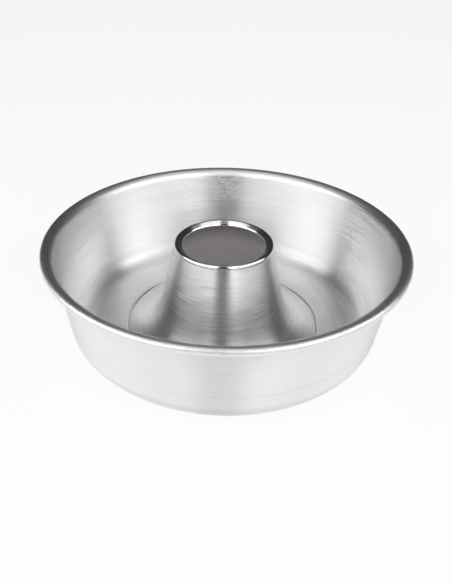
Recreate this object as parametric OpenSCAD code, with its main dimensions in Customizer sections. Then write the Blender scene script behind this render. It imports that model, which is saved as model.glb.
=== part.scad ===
// Ring mould of thin sheet aluminium, with a tall hollow tube in its middle.
// The pan and the tube are two spun pieces of sheet. They hook into each other in a
// flat folded seam round the tube's foot, and the pan's rim is rolled over a wire.
// Z is up. The origin is on the tube's axis, on the surface that the mould stands on.

/* [Pan] */
// Diameter over the rolled rim
rim_d = 254; // [220:1:300]
// Height of the rim's top above the underside of the floor
pan_h = 72.4; // [55:0.1:95]
// Thickness of the sheet of both pieces
sheet_t = 1; // [0.8:0.05:1.2]
// Lean of the wall from upright, in degrees
wall_lean = 8; // [4:0.5:14]
// Radius inside the corner of floor and wall
corner_r = 17.5; // [8:0.5:20]

/* [Rolled rim] */
// Thickness of the rolled bead
bead_d = 5.1; // [4.5:0.1:7]
// Radius, at the middle of the sheet, of the turn from the wall out to the bead
shoulder_r = 6.4; // [3:0.1:9]
// How far round the bead is rolled, in degrees
bead_turn = 260; // [200:5:265]
// Play between the wire and the sheet rolled over it
wire_gap = 0.05; // [0.02:0.01:0.2]

/* [Tube] */
// Height of the tube's top above the underside of the floor
tube_h = 68.6; // [55:0.1:90]
// Diameter over the tube's rounded top edge
tube_top_d = 70; // [60:0.5:76]
// Lean of the tube's side from upright, in degrees
tube_lean = 11.8; // [6:0.1:14]
// Radius of the sweep from the tube's side into the floor
foot_r = 25.5; // [15:0.5:28]

/* [Tube lip] */
// Width of the lip, from the tube's outer edge in to its opening
lip_w = 5.7; // [5:0.1:8]
// Radius over the outer turn of the lip
lip_outer_r = 1.8; // [1.6:0.05:2.4]
// Radius over the inner turn of the lip
lip_inner_r = 1.7; // [1.4:0.05:2.2]
// Slope of the lip's land down towards the opening, in degrees
land_slope = 32; // [10:1:40]
// Height of the lip's straight edge inside the opening
lip_drop = 0.8; // [0.5:0.1:3]

/* [Folded seam] */
// Width of the folded seam
seam_w = 7; // [6:0.1:9]
// Play between the folded layers
seam_gap = 0.05; // [0.02:0.01:0.1]
// Room past the cut edge of a fold
edge_gap = 0.3; // [0.1:0.05:0.6]
// Level stretch between the sweep of the foot and the seam
foot_land = 0.2; // [0.1:0.1:3]

/* [Hidden] */
// Most that a facet of a bend may lie inside the true arc
arc_sag = 0.02;
$fn = 180;

// Quarter of a turn, and the headings of the wall and of the tube's side
quarter = 90;
wall_rise = quarter - wall_lean;
tube_fall = quarter - tube_lean;

// Levels of the middle of the sheet: four layers lie on each other in the seam
layer = sheet_t + seam_gap;
low_layer_z = sheet_t / 2;
second_layer_z = low_layer_z + 2 * layer;
floor_z = low_layer_z + 3 * layer;
floor_underside_z = floor_z - sheet_t / 2;
rim_top_z = floor_underside_z + pan_h;
tube_top_z = floor_underside_z + tube_h;

// Bends, at the middle of the sheet
fold_r = sheet_t / 2 + seam_gap;
corner_mid_r = corner_r + sheet_t / 2;
bead_mid_r = (bead_d - sheet_t) / 2;
foot_mid_r = foot_r + sheet_t / 2;
lip_outer_mid_r = lip_outer_r - sheet_t / 2;
lip_inner_mid_r = lip_inner_r - sheet_t / 2;

// Wall: its straight length and where the floor ends follow from the rim and the corner
bead_x = (rim_d - bead_d) / 2;
wall_bends_r = corner_mid_r + shoulder_r;
wall_len = (rim_top_z - sheet_t / 2 - floor_z - wall_bends_r * (1 - cos(wall_rise))) / sin(wall_rise);
floor_end_x = bead_x - wall_bends_r * sin(wall_rise) - wall_len * cos(wall_rise);

// Tube: centre of the lip's outer turn, its land, its straight side and the end of its foot
lip_turn = [tube_top_d / 2 - lip_outer_r, tube_top_z - lip_outer_r];
land_end = lip_turn + lip_outer_mid_r * [-sin(land_slope), cos(land_slope)];
lip_x = tube_top_d / 2 - lip_w + sheet_t / 2;
land_start_x = lip_x + lip_inner_mid_r * (1 - sin(land_slope));
land_len = (land_end[0] - land_start_x) / cos(land_slope);
lip_top_z = land_end[1] - land_len * sin(land_slope) - lip_inner_mid_r * cos(land_slope);
side_start = lip_turn + lip_outer_mid_r * [cos(tube_lean), sin(tube_lean)];
side_len = (side_start[1] - floor_z - foot_mid_r * (1 - cos(tube_fall))) / sin(tube_fall);
foot_end_x = side_start[0] + side_len * cos(tube_fall) + foot_mid_r * sin(tube_fall);

// Seam: middle of the tube's fold, of the step in the pan's floor and of the pan's fold
tube_fold_x = foot_end_x + foot_land + fold_r;
step_x = tube_fold_x + layer;
pan_fold_x = step_x + sheet_t - seam_w;
pan_edge_x = tube_fold_x - sheet_t / 2 - edge_gap;
tube_edge_x = pan_fold_x + sheet_t / 2 + edge_gap;

// Unit vector of a heading, and the one that points to its left
function ahead(a) = [cos(a), sin(a)];
function aside(a) = [-sin(a), cos(a)];

// Number of facets of a bend
function facets(turn, r) = ceil(abs(turn) / (2 * acos(1 - arc_sag / max(r, arc_sag))));

// Places and headings along a bent sheet that starts at p with heading a. Each leg
// is a straight length, then a turn in degrees (left is positive) at a radius.
function bend(p, a, legs, i = 0) =
    i == len(legs) ? [] :
    let (
        leg = legs[i],
        q = p + leg[0] * ahead(a),
        side = sign(leg[1]),
        centre = q + side * leg[2] * aside(a),
        count = facets(leg[1], leg[2]),
        arc = [
            for (k = [(leg[0] > 0 ? 0 : 1):1:count])
            let (b = a + leg[1] * k / max(count, 1))
            [centre - side * leg[2] * aside(b), b]
        ],
        end_a = a + leg[1],
        end_p = centre - side * leg[2] * aside(end_a)
    )
    side == 0 ? concat([[q, a]], bend(q, a, legs, i + 1))
              : concat(arc, bend(end_p, end_a, legs, i + 1));

// Outline of a bent sheet, half its thickness to each side of its middle
function sheet_outline(p, a, legs) =
    let (
        along = concat([[p, a]], bend(p, a, legs)),
        last = len(along) - 1,
        half = sheet_t / 2
    )
    concat(
        [for (k = [0:1:last]) along[k][0] + half * aside(along[k][1])],
        [for (k = [last:-1:0]) along[k][0] - half * aside(along[k][1])]
    );

// Pan: hooked edge, step, floor, corner, wall, shoulder and rolled bead, one sheet
module pan_shell() {
    fold_drop = 2 * (layer - fold_r);
    step_rise = 3 * layer - 2 * fold_r;
    color("gainsboro")
    rotate_extrude()
    polygon(sheet_outline([pan_edge_x, second_layer_z], 2 * quarter, [
        [pan_edge_x - pan_fold_x - fold_r, quarter, fold_r],
        [fold_drop, quarter, fold_r],
        [step_x - pan_fold_x - 2 * fold_r, quarter, fold_r],
        [step_rise, -quarter, fold_r],
        [floor_end_x - step_x - fold_r, wall_rise, corner_mid_r],
        [wall_len, -wall_rise, shoulder_r],
        [0, -bead_turn, bead_mid_r]
    ]));
}

// Tube: lip turned in at the top, leaning side, sweeping foot and hooked edge, one sheet
module centre_tube() {
    fold_drop = 2 * (layer - fold_r);
    color("silver")
    rotate_extrude()
    polygon(sheet_outline([lip_x, lip_top_z - lip_drop], quarter, [
        [lip_drop, land_slope - quarter, lip_inner_mid_r],
        [land_len, -land_slope - tube_fall, lip_outer_mid_r],
        [side_len, tube_fall, foot_mid_r],
        [foot_land, -quarter, fold_r],
        [fold_drop, -quarter, fold_r],
        [tube_fold_x - fold_r - tube_edge_x, 0, 0]
    ]));
}

// Wire that stiffens the rim, with the bead rolled over it
module rim_wire() {
    color("darkgray")
    rotate_extrude()
    translate([bead_x, rim_top_z - bead_d / 2])
    circle(r = bead_d / 2 - sheet_t - wire_gap);
}

pan_shell();
centre_tube();
rim_wire();
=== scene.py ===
import math

import bpy
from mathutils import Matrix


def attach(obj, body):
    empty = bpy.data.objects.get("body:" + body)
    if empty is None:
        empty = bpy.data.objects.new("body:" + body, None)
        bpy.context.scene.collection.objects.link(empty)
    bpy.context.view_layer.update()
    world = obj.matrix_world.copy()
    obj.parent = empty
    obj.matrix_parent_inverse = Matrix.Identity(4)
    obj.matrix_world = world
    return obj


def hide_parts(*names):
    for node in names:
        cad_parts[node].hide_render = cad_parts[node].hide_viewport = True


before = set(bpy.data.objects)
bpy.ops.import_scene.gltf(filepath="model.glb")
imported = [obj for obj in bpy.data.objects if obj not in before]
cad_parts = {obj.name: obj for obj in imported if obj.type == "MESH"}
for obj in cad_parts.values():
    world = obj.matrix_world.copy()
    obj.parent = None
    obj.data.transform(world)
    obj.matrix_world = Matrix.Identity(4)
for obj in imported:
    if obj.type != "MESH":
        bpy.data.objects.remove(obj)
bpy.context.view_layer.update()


# Pan. Floor, leaning wall and rolled rim are one disc of aluminium sheet, spun over a form.
# The inner edge of the floor steps down under the tube's foot and hooks into its fold.
# The radii of its bends are those of the middle of the sheet.
sheet = 0.001
seam_gap = 0.00005
seam_width = 0.007
edge_gap = 0.0003
edge_round = 0.00018
layer = sheet + seam_gap
fold_r = sheet / 2 + seam_gap
floor_mid = sheet / 2 + 3 * layer
rim_r = 0.127
rim_top = 0.07555
bead_r = 0.00205
bead_turn = math.radians(260)
shoulder_r = 0.0064
corner_r = 0.018
wall_lean = math.radians(8)
tube_fold_x = 0.07026
step_x = tube_fold_x + layer
pan_fold_x = step_x + sheet - seam_width
quarter = math.pi / 2
sharp_from = math.radians(50)
smooth_to = math.radians(40)
same_place = 1e-6


def named(name):
    """The object that was just added, under that name."""
    piece = bpy.context.object
    piece.name = piece.data.name = name
    return piece


def spun_sheet(name, start, heading, legs, turns):
    """Bends the middle of a sheet leg by leg, spins it round Z and gives it its thickness.

    A leg is a straight length, then a turn, the radius of that turn and its number of facets.
    """
    bpy.ops.object.select_all(action="DESELECT")
    bpy.ops.mesh.primitive_plane_add(size=sheet, location=(start[0], 0, start[1]))
    piece = named(name)
    bpy.ops.object.transform_apply(location=True, rotation=True, scale=True)
    bpy.ops.object.mode_set(mode="EDIT")
    bpy.ops.mesh.select_all(action="SELECT")
    bpy.ops.mesh.merge(type="CENTER")
    x, z = start
    for length, turn, radius, facets in legs:
        if length > 0:
            dx, dz = length * math.cos(heading), length * math.sin(heading)
            bpy.ops.mesh.extrude_region_move(TRANSFORM_OT_translate={"value": (dx, 0, dz)})
            x, z = x + dx, z + dz
        if turn:
            side = math.copysign(1, turn)
            centre_x = x - side * radius * math.sin(heading)
            centre_z = z + side * radius * math.cos(heading)
            bpy.ops.mesh.spin(
                steps=facets, angle=abs(turn), center=(centre_x, 0, centre_z), axis=(0, side, 0)
            )
            heading += turn
            x = centre_x + side * radius * math.sin(heading)
            z = centre_z - side * radius * math.cos(heading)
    bpy.ops.mesh.select_all(action="SELECT")
    bpy.ops.mesh.spin(steps=turns, angle=4 * quarter, center=(0, 0, 0), axis=(0, 0, 1))
    bpy.ops.mesh.select_all(action="SELECT")
    bpy.ops.mesh.remove_doubles(threshold=same_place)
    bpy.ops.mesh.normals_make_consistent(inside=False)
    bpy.ops.object.mode_set(mode="OBJECT")
    wall = piece.modifiers.new("thickness", "SOLIDIFY")
    wall.thickness = sheet
    wall.offset = 0
    wall.use_even_offset = True
    bpy.ops.object.modifier_apply(modifier=wall.name)
    edge = piece.modifiers.new("edges", "BEVEL")
    edge.width = edge_round
    edge.segments = 2
    edge.limit_method = "ANGLE"
    edge.angle_limit = sharp_from
    bpy.ops.object.modifier_apply(modifier=edge.name)
    bpy.ops.object.shade_smooth_by_angle(angle=smooth_to)
    return piece


bends_r = corner_r + shoulder_r
wall_rise = quarter - wall_lean
wall_height = rim_top - sheet / 2 - floor_mid - bends_r * (1 - math.sin(wall_lean))
wall_length = wall_height / math.cos(wall_lean)
floor_end = rim_r - bead_r - sheet / 2 - bends_r * math.cos(wall_lean)
floor_end -= wall_length * math.sin(wall_lean)
pan_edge_x = tube_fold_x - sheet / 2 - edge_gap
pan = spun_sheet("pan_spun", (pan_edge_x, floor_mid - layer), 2 * quarter, [
    (pan_edge_x - pan_fold_x - fold_r, quarter, fold_r, 6),
    (2 * (layer - fold_r), quarter, fold_r, 6),
    (step_x - pan_fold_x - 2 * fold_r, quarter, fold_r, 6),
    (3 * layer - 2 * fold_r, -quarter, fold_r, 6),
    (floor_end - step_x - fold_r, wall_rise, corner_r, 28),
    (wall_length, -wall_rise, shoulder_r, 18),
    (0, -bead_turn, bead_r, 36),
], 288)


class Flow:
    """A socket of a material's nodes that takes part in sums as a number does."""

    def __init__(self, tree, socket=None):
        self.tree = tree
        self.socket = socket

    def make(self, kind, settings, sockets, out=0):
        """Adds a node with those settings and sockets, and gives the output that is asked for."""
        node = self.tree.nodes.new("ShaderNode" + kind)
        for key, value in settings.items():
            setattr(node, key, value)
        for key, value in sockets.items():
            if isinstance(value, Flow):
                self.tree.links.new(value.socket, node.inputs[key])
            else:
                node.inputs[key].default_value = value
        return Flow(self.tree, node.outputs[out] if node.outputs else None)

    def math(self, operation, a, b=0.0):
        return self.make("Math", {"operation": operation}, {0: a, 1: b})

    def __add__(self, other):
        return self.math("ADD", self, other)

    def __radd__(self, other):
        return self.math("ADD", other, self)

    def __sub__(self, other):
        return self.math("SUBTRACT", self, other)

    def __rsub__(self, other):
        return self.math("SUBTRACT", other, self)

    def __mul__(self, other):
        return self.math("MULTIPLY", self, other)

    def __rmul__(self, other):
        return self.math("MULTIPLY", other, self)

    def __truediv__(self, other):
        return self.math("DIVIDE", self, other)

    def root(self):
        return self.math("SQRT", self)

    def smooth(self, low, high):
        """0 below low, 1 above high, and a soft step between them."""
        settings = {"interpolation_type": "SMOOTHSTEP"}
        sockets = {"Value": self, "From Min": low, "From Max": high}
        return self.make("MapRange", settings, sockets)

    def between(self, low, high, soft):
        """1 from low to high, falling to 0 over a soft margin outside them."""
        return self.smooth(low - soft, low) * (1 - self.smooth(high, high + soft))


# Places on a piece are read in metres and its finishes are laid out in millimetres
per_metre = 1000


def blank(name):
    """A new material without nodes, and the flow that its nodes are made with."""
    material = bpy.data.materials.new(name)
    material.use_nodes = True
    material.node_tree.nodes.clear()
    return material, Flow(material.node_tree)


def dress(piece, material, flow, surface):
    """Gives the piece that material, with that surface."""
    flow.make("OutputMaterial", {}, {"Surface": surface})
    piece.data.materials.append(material)


def round_axis(flow):
    """Radius and height in millimetres, and sine and cosine of the angle round the axis."""
    place = flow.make("TexCoord", {}, {}, "Object")
    x, y, z = (flow.make("SeparateXYZ", {}, {0: place}, axis) * per_metre for axis in "XYZ")
    radius = (x * x + y * y).root()
    return radius, z, y / radius, x / radius


def brush_lines(flow, radius, height, sine, cosine, fineness, shortness, detail, seed):
    """Fine lines that run round the axis, as from an abrasive held to the turning sheet."""
    across = {"X": radius * fineness, "Y": height * fineness, "Z": cosine * shortness + seed}
    sockets = {
        "Vector": flow.make("CombineXYZ", {}, across), "W": sine * shortness,
        "Scale": 1.0, "Detail": detail, "Roughness": 0.6,
    }
    return flow.make("TexNoise", {"noise_dimensions": "4D", "normalize": True}, sockets)


def grey(flow, value):
    """A neutral colour of that value, held under 1 so that metal gives back less light than it gets."""
    value = flow.math("MINIMUM", value, 0.97)
    return flow.make("CombineColor", {}, {"Red": value, "Green": value, "Blue": value})


def metal(flow, colour, roughness, grooves, strength, depth, grain):
    """Bare metal. The more grain it has, the further its highlights draw out across the grooves."""
    normal = flow.make("Bump", {}, {"Height": grooves, "Strength": strength, "Distance": depth})
    sockets = {
        "Base Color": colour, "Metallic": 1.0, "Roughness": roughness, "Normal": normal,
        "Anisotropic": grain, "Anisotropic Rotation": 0.25,
    }
    return flow.make("BsdfPrincipled", {}, sockets)


brushed_pan, flow = blank("spun aluminium, finely brushed")
radius, height, sine, cosine = round_axis(flow)

# Brush lines all over, and two sets of scratches that cross them high on the wall, along rings
# that are tilted by so many millimetres at each side
fine = brush_lines(
    flow, radius, height, sine, cosine, fineness=1.3, shortness=1.2, detail=2.0, seed=0.0
).smooth(0.3, 0.7)
broad = brush_lines(
    flow, radius, height, sine, cosine, fineness=0.3, shortness=1.3, detail=2.0, seed=20.0
)
fall = 70
falling = brush_lines(
    flow, radius, height + cosine * fall, sine, cosine, fineness=1.5, shortness=12.0, detail=1.0, seed=90.0
)
rise = 95
rising = brush_lines(
    flow, radius, height - cosine * rise, sine, cosine, fineness=1.5, shortness=12.0, detail=1.0, seed=110.0
)
rubbed = (falling.smooth(0.52, 0.68) + rising.smooth(0.52, 0.68)) * height.smooth(35.0, 66.0)

# The rolled rim, its top, a ring mark outside, the seam, the floor and the turn up to the wall
rolled_over = height.smooth(70.0, 73.5)
# The rim's top is painted darker as painted shade, and is a little rougher
upper_painted_light_and_shade = height.smooth(71.5, 74.5)
mark = height.between(29.2, 29.4, 0.35) * radius.smooth(112.4, 112.6)
# The seam is matt and is painted lighter, as painted light against the shade in its groove
seam_matt_and_painted_light = (72.2 - radius).smooth(0.0, 0.6) * (4.0 - height).smooth(0.0, 0.2)
# The floor has stronger brush lines and is painted lighter as painted light
floor_grain_and_painted_light = (7.0 - height).smooth(0.0, 3.0)
# The corner where the floor turns up to the wall is painted darker as painted shade
corner_painted_shade = height.between(7.0, 15.0, 5.0) * radius.smooth(90.0, 97.0)

# The outside is what lies past the middle of the sheet: past the corner's arc low down, and past
# the wall's straight line higher up, which meets the table's level at the radius wall_foot
corner_end_x = floor_end + corner_r * math.cos(wall_lean)
corner_end_z = floor_mid + corner_r * (1 - math.sin(wall_lean))
wall_foot = per_metre * (corner_end_x - corner_end_z * math.tan(wall_lean))
past_corner = flow.math("MAXIMUM", radius - per_metre * floor_end, 0.0)
above_corner = height - per_metre * (floor_mid + corner_r)
off_corner = (past_corner * past_corner + above_corner * above_corner).root() - per_metre * corner_r
off_wall = radius - height * math.tan(wall_lean) - wall_foot
on_wall = height.smooth(18.0, 20.0)
outside = (off_corner * (1 - on_wall) + off_wall * on_wall).smooth(-0.2, 0.2)
lined = 1 - outside * 0.55

fine_wave = fine - 0.5
broad_wave = broad - 0.5
streaks = fine_wave * (0.07 + floor_grain_and_painted_light * 0.13) + broad_wave * (0.06 + floor_grain_and_painted_light * 0.3)
value = 0.86 + streaks * lined + floor_grain_and_painted_light * 0.09 + seam_matt_and_painted_light * 0.12
colour = grey(flow, value - rubbed * 0.01 - upper_painted_light_and_shade * 0.08 - corner_painted_shade * 0.13 - mark * 0.1)
streaks = fine_wave * 0.14 + broad_wave * 0.15
roughness = 0.37 + streaks * lined + rubbed * 0.02 + upper_painted_light_and_shade * 0.04 + seam_matt_and_painted_light * 0.35
grooves = fine * lined + rubbed * 1.2 + mark * 1.5
brushed = metal(flow, colour, roughness, grooves, strength=0.7, depth=0.00006, grain=0.97)
rolled = metal(flow, colour, roughness, grooves, strength=0.7, depth=0.00006, grain=0.3)
dress(pan, brushed_pan, flow, flow.make("MixShader", {}, {0: rolled_over, 1: brushed, 2: rolled}))
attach(pan, "root")
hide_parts("pan_shell")


# Tube. A second piece of sheet, spun to a cone with a lip turned in at its open top and a foot
# that sweeps out flat. It was brushed more coarsely than the pan, and its lip was polished.
tube_top = 0.07175
tube_top_r = 0.035
tube_lean = math.radians(11.8)
lip_width = 0.0057
lip_drop = 0.0008
lip_round = 0.0018
land_slope = math.radians(32)
lip_outer = lip_round - sheet / 2
lip_inner = 0.0012
foot_r = 0.026
lip_x = tube_top_r - lip_width + sheet / 2
lip_centre_x = tube_top_r - lip_round
lip_centre_z = tube_top - lip_round
land_end_x = lip_centre_x - lip_outer * math.sin(land_slope)
land_end_z = lip_centre_z + lip_outer * math.cos(land_slope)
land_length = (land_end_x - lip_x - lip_inner * (1 - math.sin(land_slope))) / math.cos(land_slope)
lip_top = land_end_z - land_length * math.sin(land_slope) - lip_inner * math.cos(land_slope)
side_fall = quarter - tube_lean
side_top_x = lip_centre_x + lip_outer * math.cos(tube_lean)
side_top_z = lip_centre_z + lip_outer * math.sin(tube_lean)
side_length = (side_top_z - floor_mid - foot_r * (1 - math.cos(side_fall))) / math.sin(side_fall)
foot_end = side_top_x + side_length * math.cos(side_fall) + foot_r * math.sin(side_fall)
tube_edge_x = pan_fold_x + sheet / 2 + edge_gap
tube = spun_sheet("tube_spun", (lip_x, lip_top - lip_drop), quarter, [
    (lip_drop, land_slope - quarter, lip_inner, 10),
    (land_length, -land_slope - side_fall, lip_outer, 14),
    (side_length, side_fall, foot_r, 36),
    (tube_fold_x - fold_r - foot_end, -quarter, fold_r, 6),
    (2 * (layer - fold_r), -quarter, fold_r, 6),
    (tube_fold_x - fold_r - tube_edge_x, 0, 0, 1),
], 240)

brushed_tube, flow = blank("spun aluminium, coarsely brushed")
radius, height, sine, cosine = round_axis(flow)
fine = brush_lines(
    flow, radius, height, sine, cosine, fineness=1.7, shortness=2.2, detail=3.0, seed=40.0
).smooth(0.3, 0.7)
broad = brush_lines(
    flow, radius, height, sine, cosine, fineness=0.5, shortness=1.4, detail=2.0, seed=60.0
)

# The polished lip, the steep side, how low on it, its upper part and the seam. The inside is
# what lies within the side's straight line, which meets the table's level at the radius side_foot
polish = height.smooth(68.6, 69.8)
steep = (56 - radius).smooth(0.0, 14.0)
low = (60 - height).smooth(0.0, 30.0)
# The upper part of the cone is painted lighter as painted light, and its lines are fainter there
upper_painted_light_and_shade = height.smooth(46.0, 68.0)
brushed = (1 - upper_painted_light_and_shade * 0.5) * (1 - polish)
# The seam is matt and is painted lighter, as painted light against the shade in its groove
seam_matt_and_painted_light = (radius - 69.4).smooth(0.0, 0.5)
side_foot = per_metre * (side_top_x + side_top_z * math.tan(tube_lean))
inside = (side_foot - height * math.tan(tube_lean) - radius).smooth(-0.2, 0.2) * (1 - polish)

fine_wave = fine - 0.5
broad_wave = broad - 0.5
streaks = (fine_wave * 0.17 + broad_wave * 0.26) * brushed
# The steep side is painted darker as painted shade, the more the nearer its foot
colour = grey(flow, 0.89 + upper_painted_light_and_shade * 0.09 + streaks - steep * (0.04 + low * 0.24) + seam_matt_and_painted_light * 0.12)
streaks = (fine_wave * 0.09 + broad_wave * 0.13) * brushed
roughness = 0.37 - steep * 0.05 + streaks - polish * 0.12 + seam_matt_and_painted_light * 0.3
outer = metal(flow, colour, roughness, fine * brushed, strength=0.7, depth=0.00006, grain=0.97)
# The inside is painted darker towards its top as painted shade
inside_tone_painted_shade = 0.9 + fine_wave * 0.1 + broad_wave * 0.1 - height.smooth(50.0, 69.0) * 0.42
warm = {"Red": inside_tone_painted_shade + 0.02, "Green": inside_tone_painted_shade - 0.01, "Blue": inside_tone_painted_shade - 0.015}
dull = flow.make("CombineColor", {}, warm)
inner = metal(flow, dull, 0.5 + broad_wave * 0.2, fine, strength=0.3, depth=0.0001, grain=0.0)
dress(tube, brushed_tube, flow, flow.make("MixShader", {}, {0: inside, 1: outer, 2: inner}))
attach(tube, "root")
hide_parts("centre_tube")


# Rim wire. A ring of galvanised steel wire that the rim was rolled over. It is sealed in the
# roll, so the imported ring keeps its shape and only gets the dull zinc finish.
wire_zinc, flow = blank("galvanised wire")
radius, height, sine, cosine = round_axis(flow)
spangle = brush_lines(
    flow, radius, height, sine, cosine, fineness=0.8, shortness=30.0, detail=2.0, seed=80.0
)
spangle_wave = spangle - 0.5
colour = grey(flow, 0.5 + spangle_wave * 0.2)
zinc = metal(flow, colour, 0.5 + spangle_wave * 0.3, spangle, strength=0.2, depth=0.00005, grain=0.0)
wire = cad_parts["rim_wire"]
wire.data.materials.clear()
dress(wire, wire_zinc, flow, zinc)


# Table. A plain white sheet that the pan stands on. The camera and the metal see nine tenths of it
# as plain white, so that the shadow on it is faint, apart from the disc inside the tube's foot,
# which only gets what light comes down the tube.
table_width = 8
plain_share = 0.9
disc_r = 0.066
plain_from = 0.078


def seen_plainly(flow):
    """1 where the camera looks, by itself or by way of metal or glass, and otherwise 0."""
    ways = ("Is Camera Ray", "Is Glossy Ray", "Is Transmission Ray")
    straight, mirrored, through = (flow.make("LightPath", {}, {}, way) for way in ways)
    return straight + mirrored + through


bpy.ops.object.select_all(action="DESELECT")
bpy.ops.mesh.primitive_plane_add(size=table_width, location=(0, 0, 0))
table = named("table")
white, flow = blank("white table")
lit = flow.make("BsdfDiffuse", {}, {"Color": (0.8, 0.8, 0.8, 1)})
place = flow.make("TexCoord", {}, {}, "Object")
glow = flow.make("Emission", {}, {"Color": (1, 1, 1, 1), "Strength": 1.0})
from_axis = flow.make("VectorMath", {"operation": "LENGTH"}, {0: place}, "Value")
plain = plain_share * from_axis.smooth(disc_r, plain_from)
dress(table, white, flow, flow.make("MixShader", {}, {0: seen_plainly(flow) * plain, 1: lit, 2: glow}))
white.cycles.emission_sampling = "NONE"


# Light. Two tall soft lamps stand to each side of the camera, over a low one, and strips hang
# overhead. A dim curtain goes round and over the table, as is usual for bright metal, inside a
# white backdrop.
lamps_away = 0.7
upright = 0
face_down = 90
strips_height = 0.9
curtain_r = 1.6
curtain_foot = 0.02


def soft_lamp(name, azimuth, away, height, lean, width, depth, radiance):
    """An area lamp that stands so many degrees off the back, leans down and faces the pan."""
    around = math.radians(azimuth)
    place = (away * math.sin(around), away * math.cos(around), height)
    bpy.ops.object.light_add(type="AREA", location=place)
    lamp = named(name)
    lamp.rotation_euler = (quarter - math.radians(lean), 0, 2 * quarter - around)
    lamp.data.shape = "RECTANGLE"
    lamp.data.size = width
    lamp.data.size_y = depth
    lamp.data.energy = radiance * math.pi * width * depth
    lamp.visible_camera = False


# Upright lamps. Each fills so many degrees of the view round the pan, and above the table
for name, left, right, low, high, radiance in (
    ("lamp_left_inner", -162, -138, 20, 64, 2.9),
    ("lamp_left_outer", -138, -77, 22, 46, 3.2),
    ("lamp_left_low", -130, -60, 1, 20, 0.5),
    ("lamp_right_inner", 145, 169.5, 20, 64, 3.4),
    ("lamp_right_outer", 83, 145, 24, 48, 3.1),
    ("lamp_right_low", 85, 130, 1, 20, 0.25),
):
    width = 2 * lamps_away * math.tan(math.radians((right - left) / 2))
    bottom = lamps_away * math.tan(math.radians(low))
    top = lamps_away * math.tan(math.radians(high))
    middle = (bottom + top) / 2
    soft_lamp(name, (left + right) / 2, lamps_away, middle, upright, width, top - bottom, radiance)

for name, azimuth, away, width, depth, radiance in (
    ("lamp_top_left", -90, 0.43, 0.2, 0.74, 1.6),
    ("lamp_top_right", 90, 0.58, 0.2, 1.04, 1.3),
    ("lamp_top_back", 0, 0.17, 0.8, 0.14, 1.1),
):
    soft_lamp(name, azimuth, away, strips_height, face_down, width, depth, radiance)

bpy.ops.object.select_all(action="DESELECT")
bpy.ops.mesh.primitive_uv_sphere_add(segments=48, ring_count=24, radius=curtain_r, location=(0, 0, 0))
curtain = named("curtain")
bpy.ops.object.mode_set(mode="EDIT")
bpy.ops.mesh.select_all(action="SELECT")
bpy.ops.mesh.bisect(plane_co=(0, 0, curtain_foot), plane_no=(0, 0, 1), clear_inner=True)
bpy.ops.object.mode_set(mode="OBJECT")
cloth, flow = blank("dim cloth")
dress(curtain, cloth, flow, flow.make("Emission", {}, {"Color": (0.03, 0.029, 0.028, 1)}))
cloth.cycles.emission_sampling = "NONE"
curtain.visible_camera = False

world = bpy.data.worlds.new("backdrop")
bpy.context.scene.world = world
world.use_nodes = True
world.node_tree.nodes.clear()
flow = Flow(world.node_tree)
backdrop = flow.make("Background", {}, {"Color": (1, 1, 1, 1), "Strength": seen_plainly(flow)})
flow.make("OutputWorld", {}, {"Surface": backdrop})


# Camera. It stands a little to the left, about 46 cm from the middle of the pan, and looks down at
# about 33 degrees. Its focal length and the place it looks straight at are in the picture's pixels.
picture_width = 452
picture_height = 584
focal_px = 633.7
centre_px = (187.36, 282.29)
sensor = 36
look_down = 32.55
roll = -0.009
bpy.ops.object.camera_add(location=(-0.0259, -0.3895, 0.2867))
camera = bpy.context.object
camera.rotation_mode = "ZYX"
camera.rotation_euler = (math.radians(90 - look_down), 0, roll)
camera.data.sensor_width = sensor
camera.data.lens = focal_px * sensor / picture_height
camera.data.shift_x = (picture_width / 2 - centre_px[0]) / picture_height
camera.data.shift_y = (centre_px[1] - picture_height / 2) / picture_height
camera.data.clip_start = 0.01
bpy.context.scene.camera = camera
bpy.context.scene.view_settings.view_transform = "Standard"
